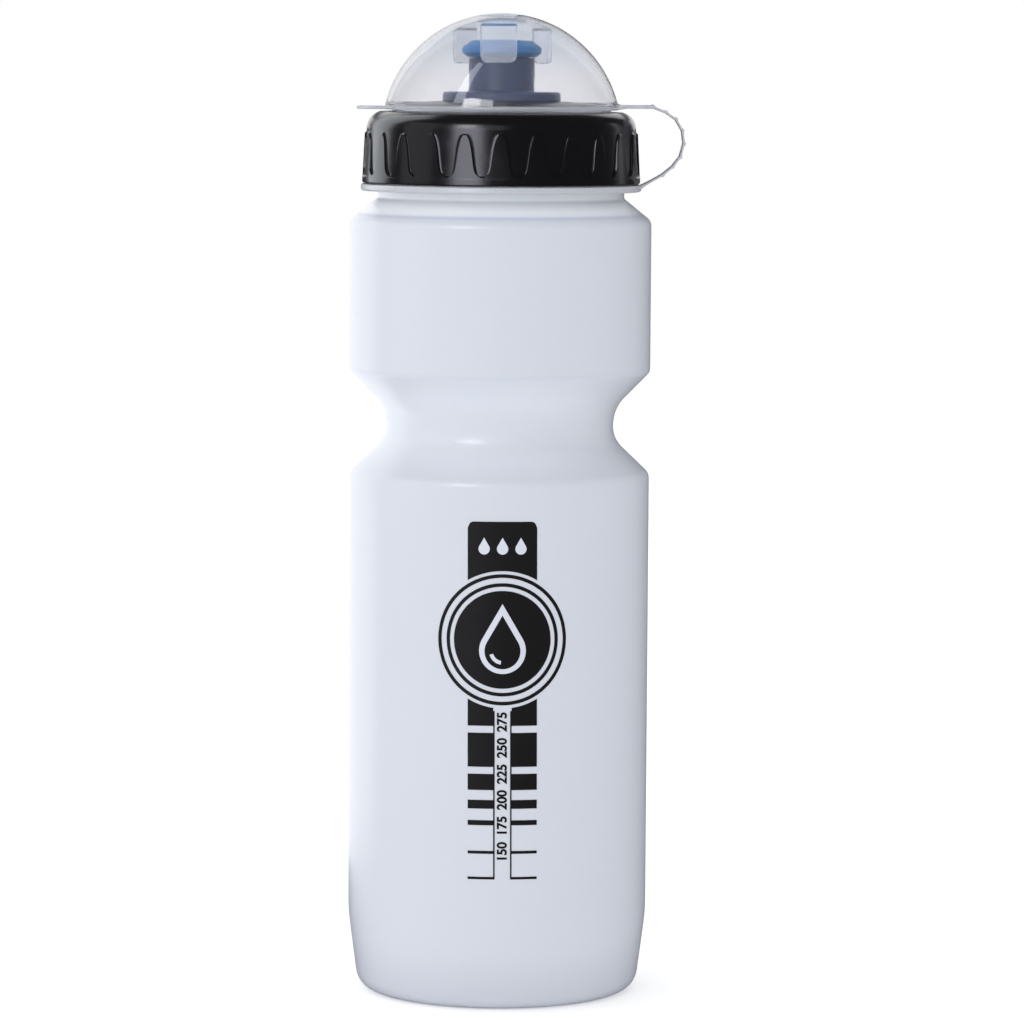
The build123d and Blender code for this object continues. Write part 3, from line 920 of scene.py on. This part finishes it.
def dome_surface(angles):
    """Rows of the dome's skin from the outer pole, over the rim and tongues, to the inner pole."""
    inner_r = DOME_R - DOME_WALL
    outer = np.sin(np.linspace(0, math.acos((RIM_TOP + 0.5 - DOME_Z) / DOME_R), 40)) * DOME_R
    tab = run_out(angles - np.pi, TAB_END, TAB_HALF, 3.5)
    stub = run_out(angles, STUB_END, STUB_HALF, 0.3)
    edge = np.maximum(tab, stub)
    stub_share = np.clip((stub - RIM_R) / 2.0, 0, 1)
    rim_top = RIM_TOP + 0.5 * stub_share
    rim_bottom = RIM_BOTTOM + 0.45 * stub_share
    rows = [(np.full_like(angles, r), np.full_like(angles, sphere_z(r, DOME_R))) for r in outer]
    foot_r = outer[-1]
    for share in np.linspace(0.15, 1, 5):
        turn = share * np.pi / 2
        lean = 1 + 1.0 * stub_share
        r = foot_r + (RIM_R - 0.02 - foot_r + 1.2 * stub_share) * (1 - np.cos(turn))
        z = rim_top + (RIM_TOP + 0.5 * lean - rim_top) * (1 - np.sin(turn))
        rows.append((r, z))
    soft = 0.22
    for turn in np.radians([0, 30, 60, 90]):
        rows.append((edge - soft + soft * math.sin(turn), rim_top - soft + soft * math.cos(turn)))
    for turn in np.radians([90, 60, 30, 0]):
        rows.append((edge - soft + soft * math.sin(turn), rim_bottom + soft - soft * math.cos(turn)))
    level = np.ones_like(angles)
    rows.append((28.2 * level, rim_bottom))
    rows += [(r * level, z * level) for r, z in (
        (27.1, RIM_BOTTOM),
        (SPIGOT_R, RIM_BOTTOM - 0.05),
        (SPIGOT_R, SPIGOT_Z + 0.2),
        (SPIGOT_R - 0.2, SPIGOT_Z),
        (SPIGOT_INNER_R + 0.2, SPIGOT_Z),
        (SPIGOT_INNER_R, SPIGOT_Z + 0.2),
        (SPIGOT_INNER_R, RIM_TOP - 0.2),
        (SPIGOT_INNER_R + 0.2, RIM_TOP),
        (26.9, RIM_TOP),
        (27.25, RIM_TOP + 0.15),
    )]
    start = math.asin(27.3 / inner_r)
    for turn in np.linspace(start, math.asin((FINGER_R + 0.3) / inner_r), 26):
        r = inner_r * math.sin(turn)
        rows.append((r * level, sphere_z(r, inner_r) * level))
    finger_rows = (
        (FINGER_R, None),
        (FINGER_R, FINGER_EDGE),
        (FINGER_R - FINGER_EDGE, 0.0),
        (FINGER_INNER_R + FINGER_EDGE, 0.0),
        (FINGER_INNER_R, FINGER_EDGE),
        (FINGER_INNER_R, None),
    )
    for r, above_foot in finger_rows:
        ceiling = sphere_z(r, inner_r)
        z = ceiling * level
        if above_foot is not None:
            floor = finger_floor(angles, r)
            z = np.where(floor < ceiling - 0.5, floor + above_foot, ceiling)
        rows.append((r * level, z))
    for r in (10.6, 9.5, 8.0, 6.8, BOSS_R):
        rows.append((r * level, sphere_z(r, inner_r) * level))
    for r, lift in ((BOSS_R, 0.1), (BOSS_R - 0.12, 0.0), (3.0, 0.0), (0.0, 0.0)):
        rows.append((r * level, (BOSS_BOTTOM + lift) * level))
    r = np.array([row[0] for row in rows])
    z = np.array([row[1] for row in rows])
    return np.stack([r * np.cos(angles), r * np.sin(angles), z], -1)


dome = make_piece("clear_dust_dome", dome_surface(dome_angles), sharp=40)
dress(dome, "dome", "clear_plastic", clear_dome, "dust_dome")
for finish in (hazy_rim, natural_strap, hazy_finger, boss_clear):
    dome.data.materials.append(finish)
centre = np.empty(len(dome.data.polygons) * 3)
dome.data.polygons.foreach_get("center", centre)
centre = centre.reshape(-1, 3) / MM
reach = np.hypot(centre[:, 0], centre[:, 1])
kind = np.where(reach > RIM_R + 0.4, 2, np.where(centre[:, 2] < RIM_TOP + 0.1, 1, 0))
ceiling = sphere_z(np.minimum(reach, FINGER_R + 0.5), DOME_R - DOME_WALL)
in_finger = (np.abs(reach - FINGER_MIDDLE_R) < 0.8) & (centre[:, 2] < ceiling - 0.3)
on_boss = (reach < BOSS_R + 0.05) & (centre[:, 2] < ceiling - 0.02)
kind[in_finger] = 3
kind[on_boss] = 4
dome.data.polygons.foreach_set("material_index", kind.astype(np.int32))
print("faces by finish:", np.bincount(kind))

# %% [markdown]
# ## The ring and the strap
#
# The strap is a thin strip that loops out from under the cap and over to the dome, with a small
# rib at each knuckle where it likes to bend. In the model it is a chain of links on hinges. One
# strip is cut here at the middle of every link, and each cut length is left where it is made, on
# no body, so it does not follow the hinges.

# %% The tether ring
turned_piece(
    "neck_ring",
    turned_ring(31.3, RING_R, RING_BOTTOM, RING_TOP),
    [0.6, 0.6, 0.4, 0.4],
    "ring",
    "strap_plastic",
    natural_strap,
    ["tether_ring"],
    count=192,
)

# %% The strap's path, from its hinges
hinges = {j["name"]: j for j in frame["joints"]}
knuckles = np.array([hinges[f"strap_bend_{k}"]["pos_m"] for k in range(1, 9)])[:, [0, 2]] / MM
STRAP_ROOT = np.array([33.2, 197.05])
STUB_START = np.array([35.0, 216.92])
corners = np.vstack([STRAP_ROOT, knuckles, STUB_START])
path = rounded(corners, [0.9] * 8, step=0.12, arc_degrees=4.0)
travel = np.append(0, np.cumsum(np.linalg.norm(np.diff(path, axis=0), axis=1)))
mids = [STRAP_ROOT] + [(a + b) / 2 for a, b in zip(corners[1:-2], corners[2:-1])] + [STUB_START]
print(f"the strap is {travel[-1]:.1f} mm long, in {len(mids) - 1} lengths")


def nearest_travel(point):
    """Distance along the strap of the station nearest to a point."""
    return travel[np.argmin(np.linalg.norm(path - point, axis=1))]


# %% [markdown]
# The strip's section is a thin rounded bar. Its half width is steady except at the ring, where it
# flares; its outer side stands out at each knuckle by a smooth bump, and it is thicker towards
# the ring. One function gives the points for any stretch of the strip.

# %% A stretch of the strap
STRAP_HALF = 4.0
WEB_HALF = 0.28
RIB_HEIGHT = 0.26
knuckle_travel = np.array([nearest_travel(k) for k in knuckles])


def strap_surface(start, end):
    """Points of the strap between two distances: a thin section carried along the path."""
    inside = (travel > start + 0.02) & (travel < end - 0.02)
    at = np.concatenate([[start], travel[inside], [end]])
    x, z = (np.interp(at, travel, path[:, k]) for k in (0, 1))
    ahead = np.stack([np.interp(at + 0.05, travel, path[:, k]) for k in (0, 1)], 1)
    behind = np.stack([np.interp(at - 0.05, travel, path[:, k]) for k in (0, 1)], 1)
    along = ahead - behind
    along /= np.linalg.norm(along, axis=1)[:, None]
    out = np.stack([along[:, 1], -along[:, 0]], 1)
    bump = np.exp(-(((at[:, None] - knuckle_travel) / 0.38) ** 2)).sum(1)
    thick = WEB_HALF + 0.2 * np.exp(-((at / 2.0) ** 2)) + 0.2 * np.exp(-(((travel[-1] - at) / 2.2) ** 2))
    half_width = STRAP_HALF + 2.0 * np.exp(-((at / 1.3) ** 2))
    t = even_angles(28)
    c, s = np.cos(t), np.sin(t)
    across = np.sign(c) * np.abs(c) ** 0.25
    depth = np.sign(s) * np.abs(s) ** 0.6
    side = np.where(depth > 0, (thick + RIB_HEIGHT * bump)[:, None], thick[:, None]) * depth
    px = x[:, None] + out[:, 0, None] * side
    pz = z[:, None] + out[:, 1, None] * side
    py = half_width[:, None] * across
    skin = np.stack([px, py, pz], -1)
    poles = [np.broadcast_to(end, skin[:1].shape) for end in skin.mean(axis=1)[[0, -1]]]
    return np.concatenate([poles[0], skin, poles[1]])


cuts = [nearest_travel(p) for p in mids]
cuts[0], cuts[-1] = 0.0, travel[-1]
for k in range(8):
    length = make_piece(f"strap_length_{k + 1}", strap_surface(cuts[k], cuts[k + 1]))
    length.data.materials.append(natural_strap)
    if k:
        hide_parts(f"strap_link_{k}")
    start, end = mids[k], mids[k + 1]
    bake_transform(length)

# %% [markdown]
# ## The print
#
# The front of the barrel carries a screen print. Ink has hardly any thickness, so each mark is a
# very thin closed slab, bent round the barrel: a point of the flat drawing at distance s across
# lies at angle s / radius. The drawing is generic: a drop in a ringed disc, bars on both sides of
# a strip, and numbers for the volume, at the levels where the barrel holds that much.

# %% Bending a drawing round the barrel
PRINT_CENTRE = math.radians(1.7)
PRINT_LEAN = math.tan(math.radians(0.3))
BADGE_Z = 90.3
INK_FOOT = 0.005
INK_TOP = 0.045


def on_barrel(s, z, lift):
    """Where a point of the flat drawing lies on the barrel: angle s / radius from the front.

    The drawing leans by a third of a degree, as a hand-fed screen print does.
    """
    angle = (s - (z - BADGE_Z) * PRINT_LEAN) / BARREL_R + PRINT_CENTRE
    reach = BARREL_R + lift
    return np.stack([reach * np.sin(angle), -reach * np.cos(angle), z + 0 * s], -1)


def bar(left, right, low, high):
    """A rectangle of flat points, fine enough across to follow the barrel."""
    s = np.linspace(left, right, max(2, math.ceil((right - left) / 0.8) + 1))
    z = np.linspace(low, high, 2)
    z, s = np.meshgrid(z, s, indexing="ij")
    return np.stack([s, z], -1)


def ring(centre_z, inner, outer, count=96):
    """A flat ring of points about the badge's centre: distance from the centre by angle."""
    r = np.linspace(inner, outer, max(2, math.ceil((outer - inner) / 1.5) + 1))[:, None]
    a = np.linspace(0, 2 * np.pi, count + 1)
    return np.stack([r * np.cos(a), centre_z + r * np.sin(a)], -1)


def slab_piece(name, shapes, material, lift=0.0):
    """A print piece: each flat grid gets a top, a foot and an edge, and is bent to the barrel."""
    points, faces, start = [], [], 0
    for shape in shapes:
        rows, columns = shape.shape[:2]
        s, z = shape[..., 0].ravel(), shape[..., 1].ravel()
        both = np.concatenate([on_barrel(s, z, INK_TOP + lift), on_barrel(s, z, INK_FOOT + lift)])
        index = np.arange(rows * columns).reshape(rows, columns)
        top_faces = grid_faces(rows, columns, loop_columns=False)
        border = np.concatenate([index[0], index[1:, -1], index[-1, -2::-1], index[-2:0:-1, 0]])
        after = np.roll(border, -1)
        count = rows * columns
        edge = np.stack([border, border + count, after + count, after], 1)
        quads = np.concatenate([top_faces, top_faces[:, ::-1] + count, edge])
        if enclosed(both * MM, quads) < 0:
            quads = quads[:, ::-1]
        points.append(both * MM)
        faces.append(quads + start)
        start += len(both)
    mesh = bpy.data.meshes.new(name)
    mesh.from_pydata(np.concatenate(points), [], np.concatenate(faces).tolist())
    shape = bmesh.new()
    shape.from_mesh(mesh)
    bmesh.ops.remove_doubles(shape, verts=shape.verts, dist=1e-6)
    shape.to_mesh(mesh)
    shape.free()
    piece = bpy.data.objects.new(name, mesh)
    bpy.context.scene.collection.objects.link(piece)
    return dress(piece, "bottle", "squeeze_body", material)


# %% The badge, the panel and the bars
PANEL_HALF = 8.35
STRIP_HALF = 1.85
LINE = 0.35
PANEL_TOP = 118.6
PANEL_CORNER = 1.5
BARS_LOW = 32.5
BARS_HIGH = 73.2
UPPER_BARS_LOW = 69.6
HALO_R = 16.5


def panel_shape():
    """The panel above the badge: a rounded top edge, and a foot that follows the badge's ring."""
    s = np.linspace(-PANEL_HALF, PANEL_HALF, 33)
    corner = np.clip((np.abs(s) - (PANEL_HALF - PANEL_CORNER)) / PANEL_CORNER, 0, 1)
    high = PANEL_TOP - PANEL_CORNER * (1 - np.sqrt(1 - corner**2))
    low = BADGE_Z + np.sqrt(HALO_R**2 - s**2)
    share = np.linspace(0, 1, 5)[:, None]
    return np.stack([s + 0 * share, low + (high - low) * share], -1)


def side_bars(low, high):
    """A pair of bars, left and right of the strip."""
    start = STRIP_HALF + LINE
    return [bar(-PANEL_HALF, -start, low, high), bar(start, PANEL_HALF, low, high)]


def upper_bars():
    """The pair of bars right under the badge, cut to follow its ring."""
    made = []
    for sign in (-1, 1):
        s = sign * np.linspace(STRIP_HALF + LINE, PANEL_HALF, 9)
        high = BADGE_Z - np.sqrt(HALO_R**2 - s**2)
        share = np.linspace(0, 1, 3)[:, None]
        made.append(np.stack([s + 0 * share, UPPER_BARS_LOW + (high - UPPER_BARS_LOW) * share], -1))
    return made


BAR_LEVELS = [(59.7, 67.9), (54.1, 58.0), (49.6, 51.7), (45.6, 46.8), (38.7, 39.4), (BARS_LOW, 33.1)]
bars = upper_bars() + [b for low, high in BAR_LEVELS for b in side_bars(low, high)]
lines = [bar(s, s + LINE, BARS_LOW, BARS_HIGH) for s in (-STRIP_HALF - LINE, STRIP_HALF)]
slab_piece("print_panel", [panel_shape()], ink_black)
slab_piece("print_bars", bars + lines, ink_black)
slab_piece("print_rings", [ring(BADGE_Z, 14.9, 15.75), ring(BADGE_Z, 12.75, 13.6)], ink_black)
slab_piece("print_disc", [ring(BADGE_Z, 0.01, 11.75)], ink_black)


# %% [markdown]
# The badge's mark is a drop. Its outline is a circle below and two straight sides that meet at a
# point above, each tangent to the circle. An outer and an inner drop, a little apart, make a line
# of even width.

# %% The drop in the badge


def drop_outline(size, centre_z, count=72):
    """Points round a drop: a circle, with its top drawn up to a point in tangent straight lines.

    The point is twice the radius above the centre, so the tangents touch at 60 degrees from it.
    """
    touch = math.radians(30)
    arc = np.linspace(touch, -np.pi - touch, count)
    circle = np.stack([np.cos(arc), np.sin(arc)], 1) * size
    tip = np.array([[0.0, 2.0 * size]])
    share = np.linspace(0, 1, 12)[1:-1, None]
    rise = circle[-1] + (tip - circle[-1]) * share
    fall = tip + (circle[0] - tip) * share
    outline = np.vstack([circle, rise, tip, fall, circle[:1]])
    return outline + np.array([0, centre_z])


def band(outer, inner):
    """A strip of flat points between two outlines with the same number of stations."""
    return np.stack([inner, outer])


DROP_Z = BADGE_Z - 2.75
LIGHT_LIFT = 0.02
outer_drop = drop_outline(5.6, DROP_Z + 0.15)
inner_drop = drop_outline(4.3, DROP_Z)
gleam = np.linspace(math.radians(195), math.radians(262), 18)
gleam_outer, gleam_inner = (
    np.stack([r * np.cos(gleam), DROP_Z + r * np.sin(gleam)], 1) for r in (3.2, 2.3)
)
drop_lines = [band(outer_drop, inner_drop), band(gleam_outer, gleam_inner)]
slab_piece("print_drop", drop_lines, ink_light, lift=LIGHT_LIFT)

small_drops = []
for s in (-4.4, 0.0, 4.4):
    outline = drop_outline(1.35, 112.1)
    middle = np.broadcast_to([0.0, 112.3], outline.shape)
    small_drops.append(np.stack([middle, outline]) + np.array([s, 0]))
slab_piece("print_small_drops", small_drops, ink_light, lift=LIGHT_LIFT)

# %% [markdown]
# The numbers come from Blender's own font as a flat curve. It is made a mesh first, turned to
# read upwards, moved to its level and only then bent round the barrel, point by point.

# %% Volume numbers on the strip


NUMBER_SIZE = 3.2
NUMBER_BOLD = 0.10


def number_piece(text, centre_z):
    """A number that reads upwards on the strip: flat text to mesh, turned a quarter, then bent."""
    curve = bpy.data.curves.new("number", "FONT")
    curve.body = text
    curve.size = NUMBER_SIZE
    curve.align_x = "CENTER"
    curve.align_y = "CENTER"
    curve.extrude = 0.02
    curve.offset = NUMBER_BOLD
    flat = bpy.data.objects.new("number", curve)
    bpy.context.scene.collection.objects.link(flat)
    bpy.context.view_layer.update()
    mesh = bpy.data.meshes.new_from_object(flat)
    bpy.data.objects.remove(flat)
    co = np.empty(len(mesh.vertices) * 3)
    mesh.vertices.foreach_get("co", co)
    co = co.reshape(-1, 3)
    lift = np.where(co[:, 2] > 0, INK_TOP, INK_FOOT)
    bent = on_barrel(-co[:, 1], centre_z + co[:, 0], 0.0)
    outward = bent * np.array([1, 1, 0]) / BARREL_R
    bent = bent + outward * lift[:, None]
    mesh.vertices.foreach_set("co", (bent * MM).ravel())
    mesh.update()
    piece = bpy.data.objects.new(f"print_number_{text}", mesh)
    bpy.context.scene.collection.objects.link(piece)
    return dress(piece, "bottle", "squeeze_body", ink_black)


FLOOR_RISE = 1.5
BARREL_AREA = math.pi * (BARREL_R - BODY_WALL) ** 2
for millilitres in (150, 175, 200, 225, 250, 275):
    level = millilitres * 1000 / BARREL_AREA + FLOOR_RISE
    number_piece(str(millilitres), level)

# %% [markdown]
# ## Floor and light
#
# A pale bottle on a white ground needs two kinds of light. Even light from all round keeps the
# milky body bright, and it comes from the room and the floor. Gloss needs the opposite: a dark room
# with a few bright panels, so that black plastic stays black and its highlights have edges. The
# room is therefore bright to every ray but a reflected one, and so is the table, which also
# glows a little, as a light table does.

# %% The table
TABLE_R = 2500.0
table_profile = np.stack([np.linspace(0, TABLE_R, 24), np.zeros(24)], 1)
table = make_piece("table", turned(table_profile, even_angles(96)))
paper = plastic("pale_paper", (0.87, 0.87, 0.87), (0.88, 0.88, 0.88), (0.8, 0.9), 400, 0.00001, 2.0)
shader = shader_of(paper)
shader.inputs["Specular IOR Level"].default_value = 0.0
shader.inputs["Emission Color"].default_value = (1, 1, 1, 1)
shader.inputs["Emission Strength"].default_value = 0.30
table.data.materials.append(paper)
table.visible_glossy = False

# %% The room


def room(bright, shaded, dim):
    """A world that is bright to every ray but a reflected one, which meets a dim room.

    The bright room fades to a shaded one on the right: by a smooth step of the direction's x.
    """
    world = bpy.data.worlds.new("studio")
    world.use_nodes = True
    tree = world.node_tree
    even = tree.nodes["Background"]
    place = node(tree, "ShaderNodeTexCoord")
    split = node(tree, "ShaderNodeSeparateXYZ")
    tree.links.new(place.outputs["Generated"], split.inputs[0])
    side = node(tree, "ShaderNodeMix", data_type="RGBA")
    factor, left, right = (side.inputs[k] for k in MIX_INPUTS)
    left.default_value = (*bright, 1)
    right.default_value = (*shaded, 1)
    tree.links.new(ramp_between(tree, split.outputs["X"], 0.45, 1.0), factor)
    tree.links.new(side.outputs[MIX_RESULT], even.inputs["Color"])
    dark = node(tree, "ShaderNodeBackground", Color=(*dim, 1))
    path = node(tree, "ShaderNodeLightPath")
    mirrored = node(tree, "ShaderNodeMath", operation="MULTIPLY")
    mix = node(tree, "ShaderNodeMixShader")
    tree.links.new(path.outputs["Is Glossy Ray"], mirrored.inputs[0])
    tree.links.new(path.outputs["Is Reflection Ray"], mirrored.inputs[1])
    tree.links.new(mirrored.outputs[0], mix.inputs[0])
    tree.links.new(even.outputs[0], mix.inputs[1])
    tree.links.new(dark.outputs[0], mix.inputs[2])
    tree.links.new(mix.outputs[0], tree.nodes["World Output"].inputs["Surface"])
    return world


bpy.context.scene.world = room((1.0, 1.0, 1.0), (0.45, 0.45, 0.45), (0.055, 0.055, 0.062))
bpy.context.scene.view_settings.view_transform = "Standard"

# %% [markdown]
# The panels are rectangular lamps, and most are for gloss alone. A highlight that suits the black
# cap would bleach the milky body and fog the dome, so light linking gives each panel its own
# pieces: tall panels for the cap, two windows and a dim backdrop for the dome and a small one for
# the body's left edge. A softer pair lights the surfaces themselves a little more from the left
# than from the right, and that slight difference is what makes the barrel look round.

# %% Panels


def panel(
    name, azimuth, height, distance, wide, high, radiance, gloss_only=False, colour=(1, 1, 1), aim=0.13
):
    """A rectangular lamp that faces the bottle's axis at a height, of a given radiance.

    Its azimuth is in degrees to the left of the front, and its power is radiance times pi times area.
    """
    turn = math.radians(azimuth)
    place = Vector((-math.sin(turn) * distance, -math.cos(turn) * distance, height))
    data = bpy.data.lights.new(name, "AREA")
    data.shape = "RECTANGLE"
    data.size, data.size_y = wide, high
    data.energy = radiance * math.pi * wide * high
    data.color = colour
    lamp = bpy.data.objects.new(name, data)
    lamp.location = place
    lamp.rotation_euler = (Vector((0, 0, aim)) - place).to_track_quat("-Z", "Y").to_euler()
    lamp.visible_camera = False
    lamp.visible_transmission = False
    lamp.visible_diffuse = not gloss_only
    bpy.context.scene.collection.objects.link(lamp)
    return lamp


def link_lamp(lamp, pieces, state):
    """Let a lamp light only these pieces (INCLUDE), or every piece but these (EXCLUDE)."""
    chosen = bpy.data.collections.new(f"{lamp.name}_{state.lower()}")
    lamp.light_linking.receiver_collection = chosen
    for index, piece in enumerate(pieces):
        chosen.objects.link(piece)
        chosen.collection_objects[index].light_linking.link_state = state


def gloss_panel(name, *sizes, only=(), spare=(), **settings):
    """A panel for gloss alone, which may light only some pieces, or every piece but some."""
    lamp = panel(name, *sizes, gloss_only=True, **settings)
    if only:
        link_lamp(lamp, only, "INCLUDE")
    if spare:
        link_lamp(lamp, spare, "EXCLUDE")


COOL = (0.94, 0.97, 1.0)
gloss_panel("front_left_gloss", 28, 0.16, 1.4, 0.62, 1.0, 5.0, colour=(0.86, 0.86, 1.0), spare=[body, dome])
gloss_panel("high_left_gloss", 31, 0.86, 1.4, 0.46, 0.40, 8.0)
gloss_panel("back_left_gloss", 126, 0.8, 1.4, 1.0, 2.0, 2.3, colour=(0.90, 0.95, 1.0), spare=[dome, body])
gloss_panel("edge_left_gloss", 140, 0.15, 0.20, 0.30, 0.30, 1.2, colour=(0.95, 0.97, 1.0), aim=0.15, only=[body])
gloss_panel("backdrop_gloss", 180, 0.72, 1.4, 1.6, 1.1, 1.3, only=[cap])
gloss_panel("dome_backdrop_gloss", 164, 0.5, 1.4, 0.9, 1.2, 0.75, only=[dome])
gloss_panel("low_window_gloss", 24, 0.73, 1.2, 0.66, 0.50, 8.0, colour=COOL, aim=0.73, only=[dome])
gloss_panel("high_window_gloss", 45, 1.35, 0.8, 0.16, 1.6, 4.5, colour=COOL, aim=1.35, only=[dome])
gloss_panel("right_edge_gloss", -118, 0.3, 1.4, 0.16, 1.0, 1.05, only=[cap])
panel("left_fill", 75, 0.6, 1.5, 0.9, 1.2, 0.5)
panel("front_fill", 10, 0.9, 1.9, 1.0, 0.8, 0.6)

# %% [markdown]
# ## Camera
#
# A long lens, a little above the cap and looking slightly down, as in a catalogue. The roll is a
# third of a degree, because the bottle does not stand quite plumb in the frame.

# %% The camera
LENS = 180.3
PITCH_DOWN = 5.15
ROLL = 0.36
camera_data = bpy.data.cameras.new("camera")
camera_data.lens = LENS
camera_data.sensor_width = 36.0
camera = bpy.data.objects.new("camera", camera_data)
tilt = Matrix.Rotation(math.radians(90 - PITCH_DOWN), 4, "X") @ Matrix.Rotation(math.radians(ROLL), 4, "Z")
camera.matrix_world = Matrix.Translation((0.00316, -1.253, 0.2306)) @ tilt
bpy.context.scene.collection.objects.link(camera)
bpy.context.scene.camera = camera
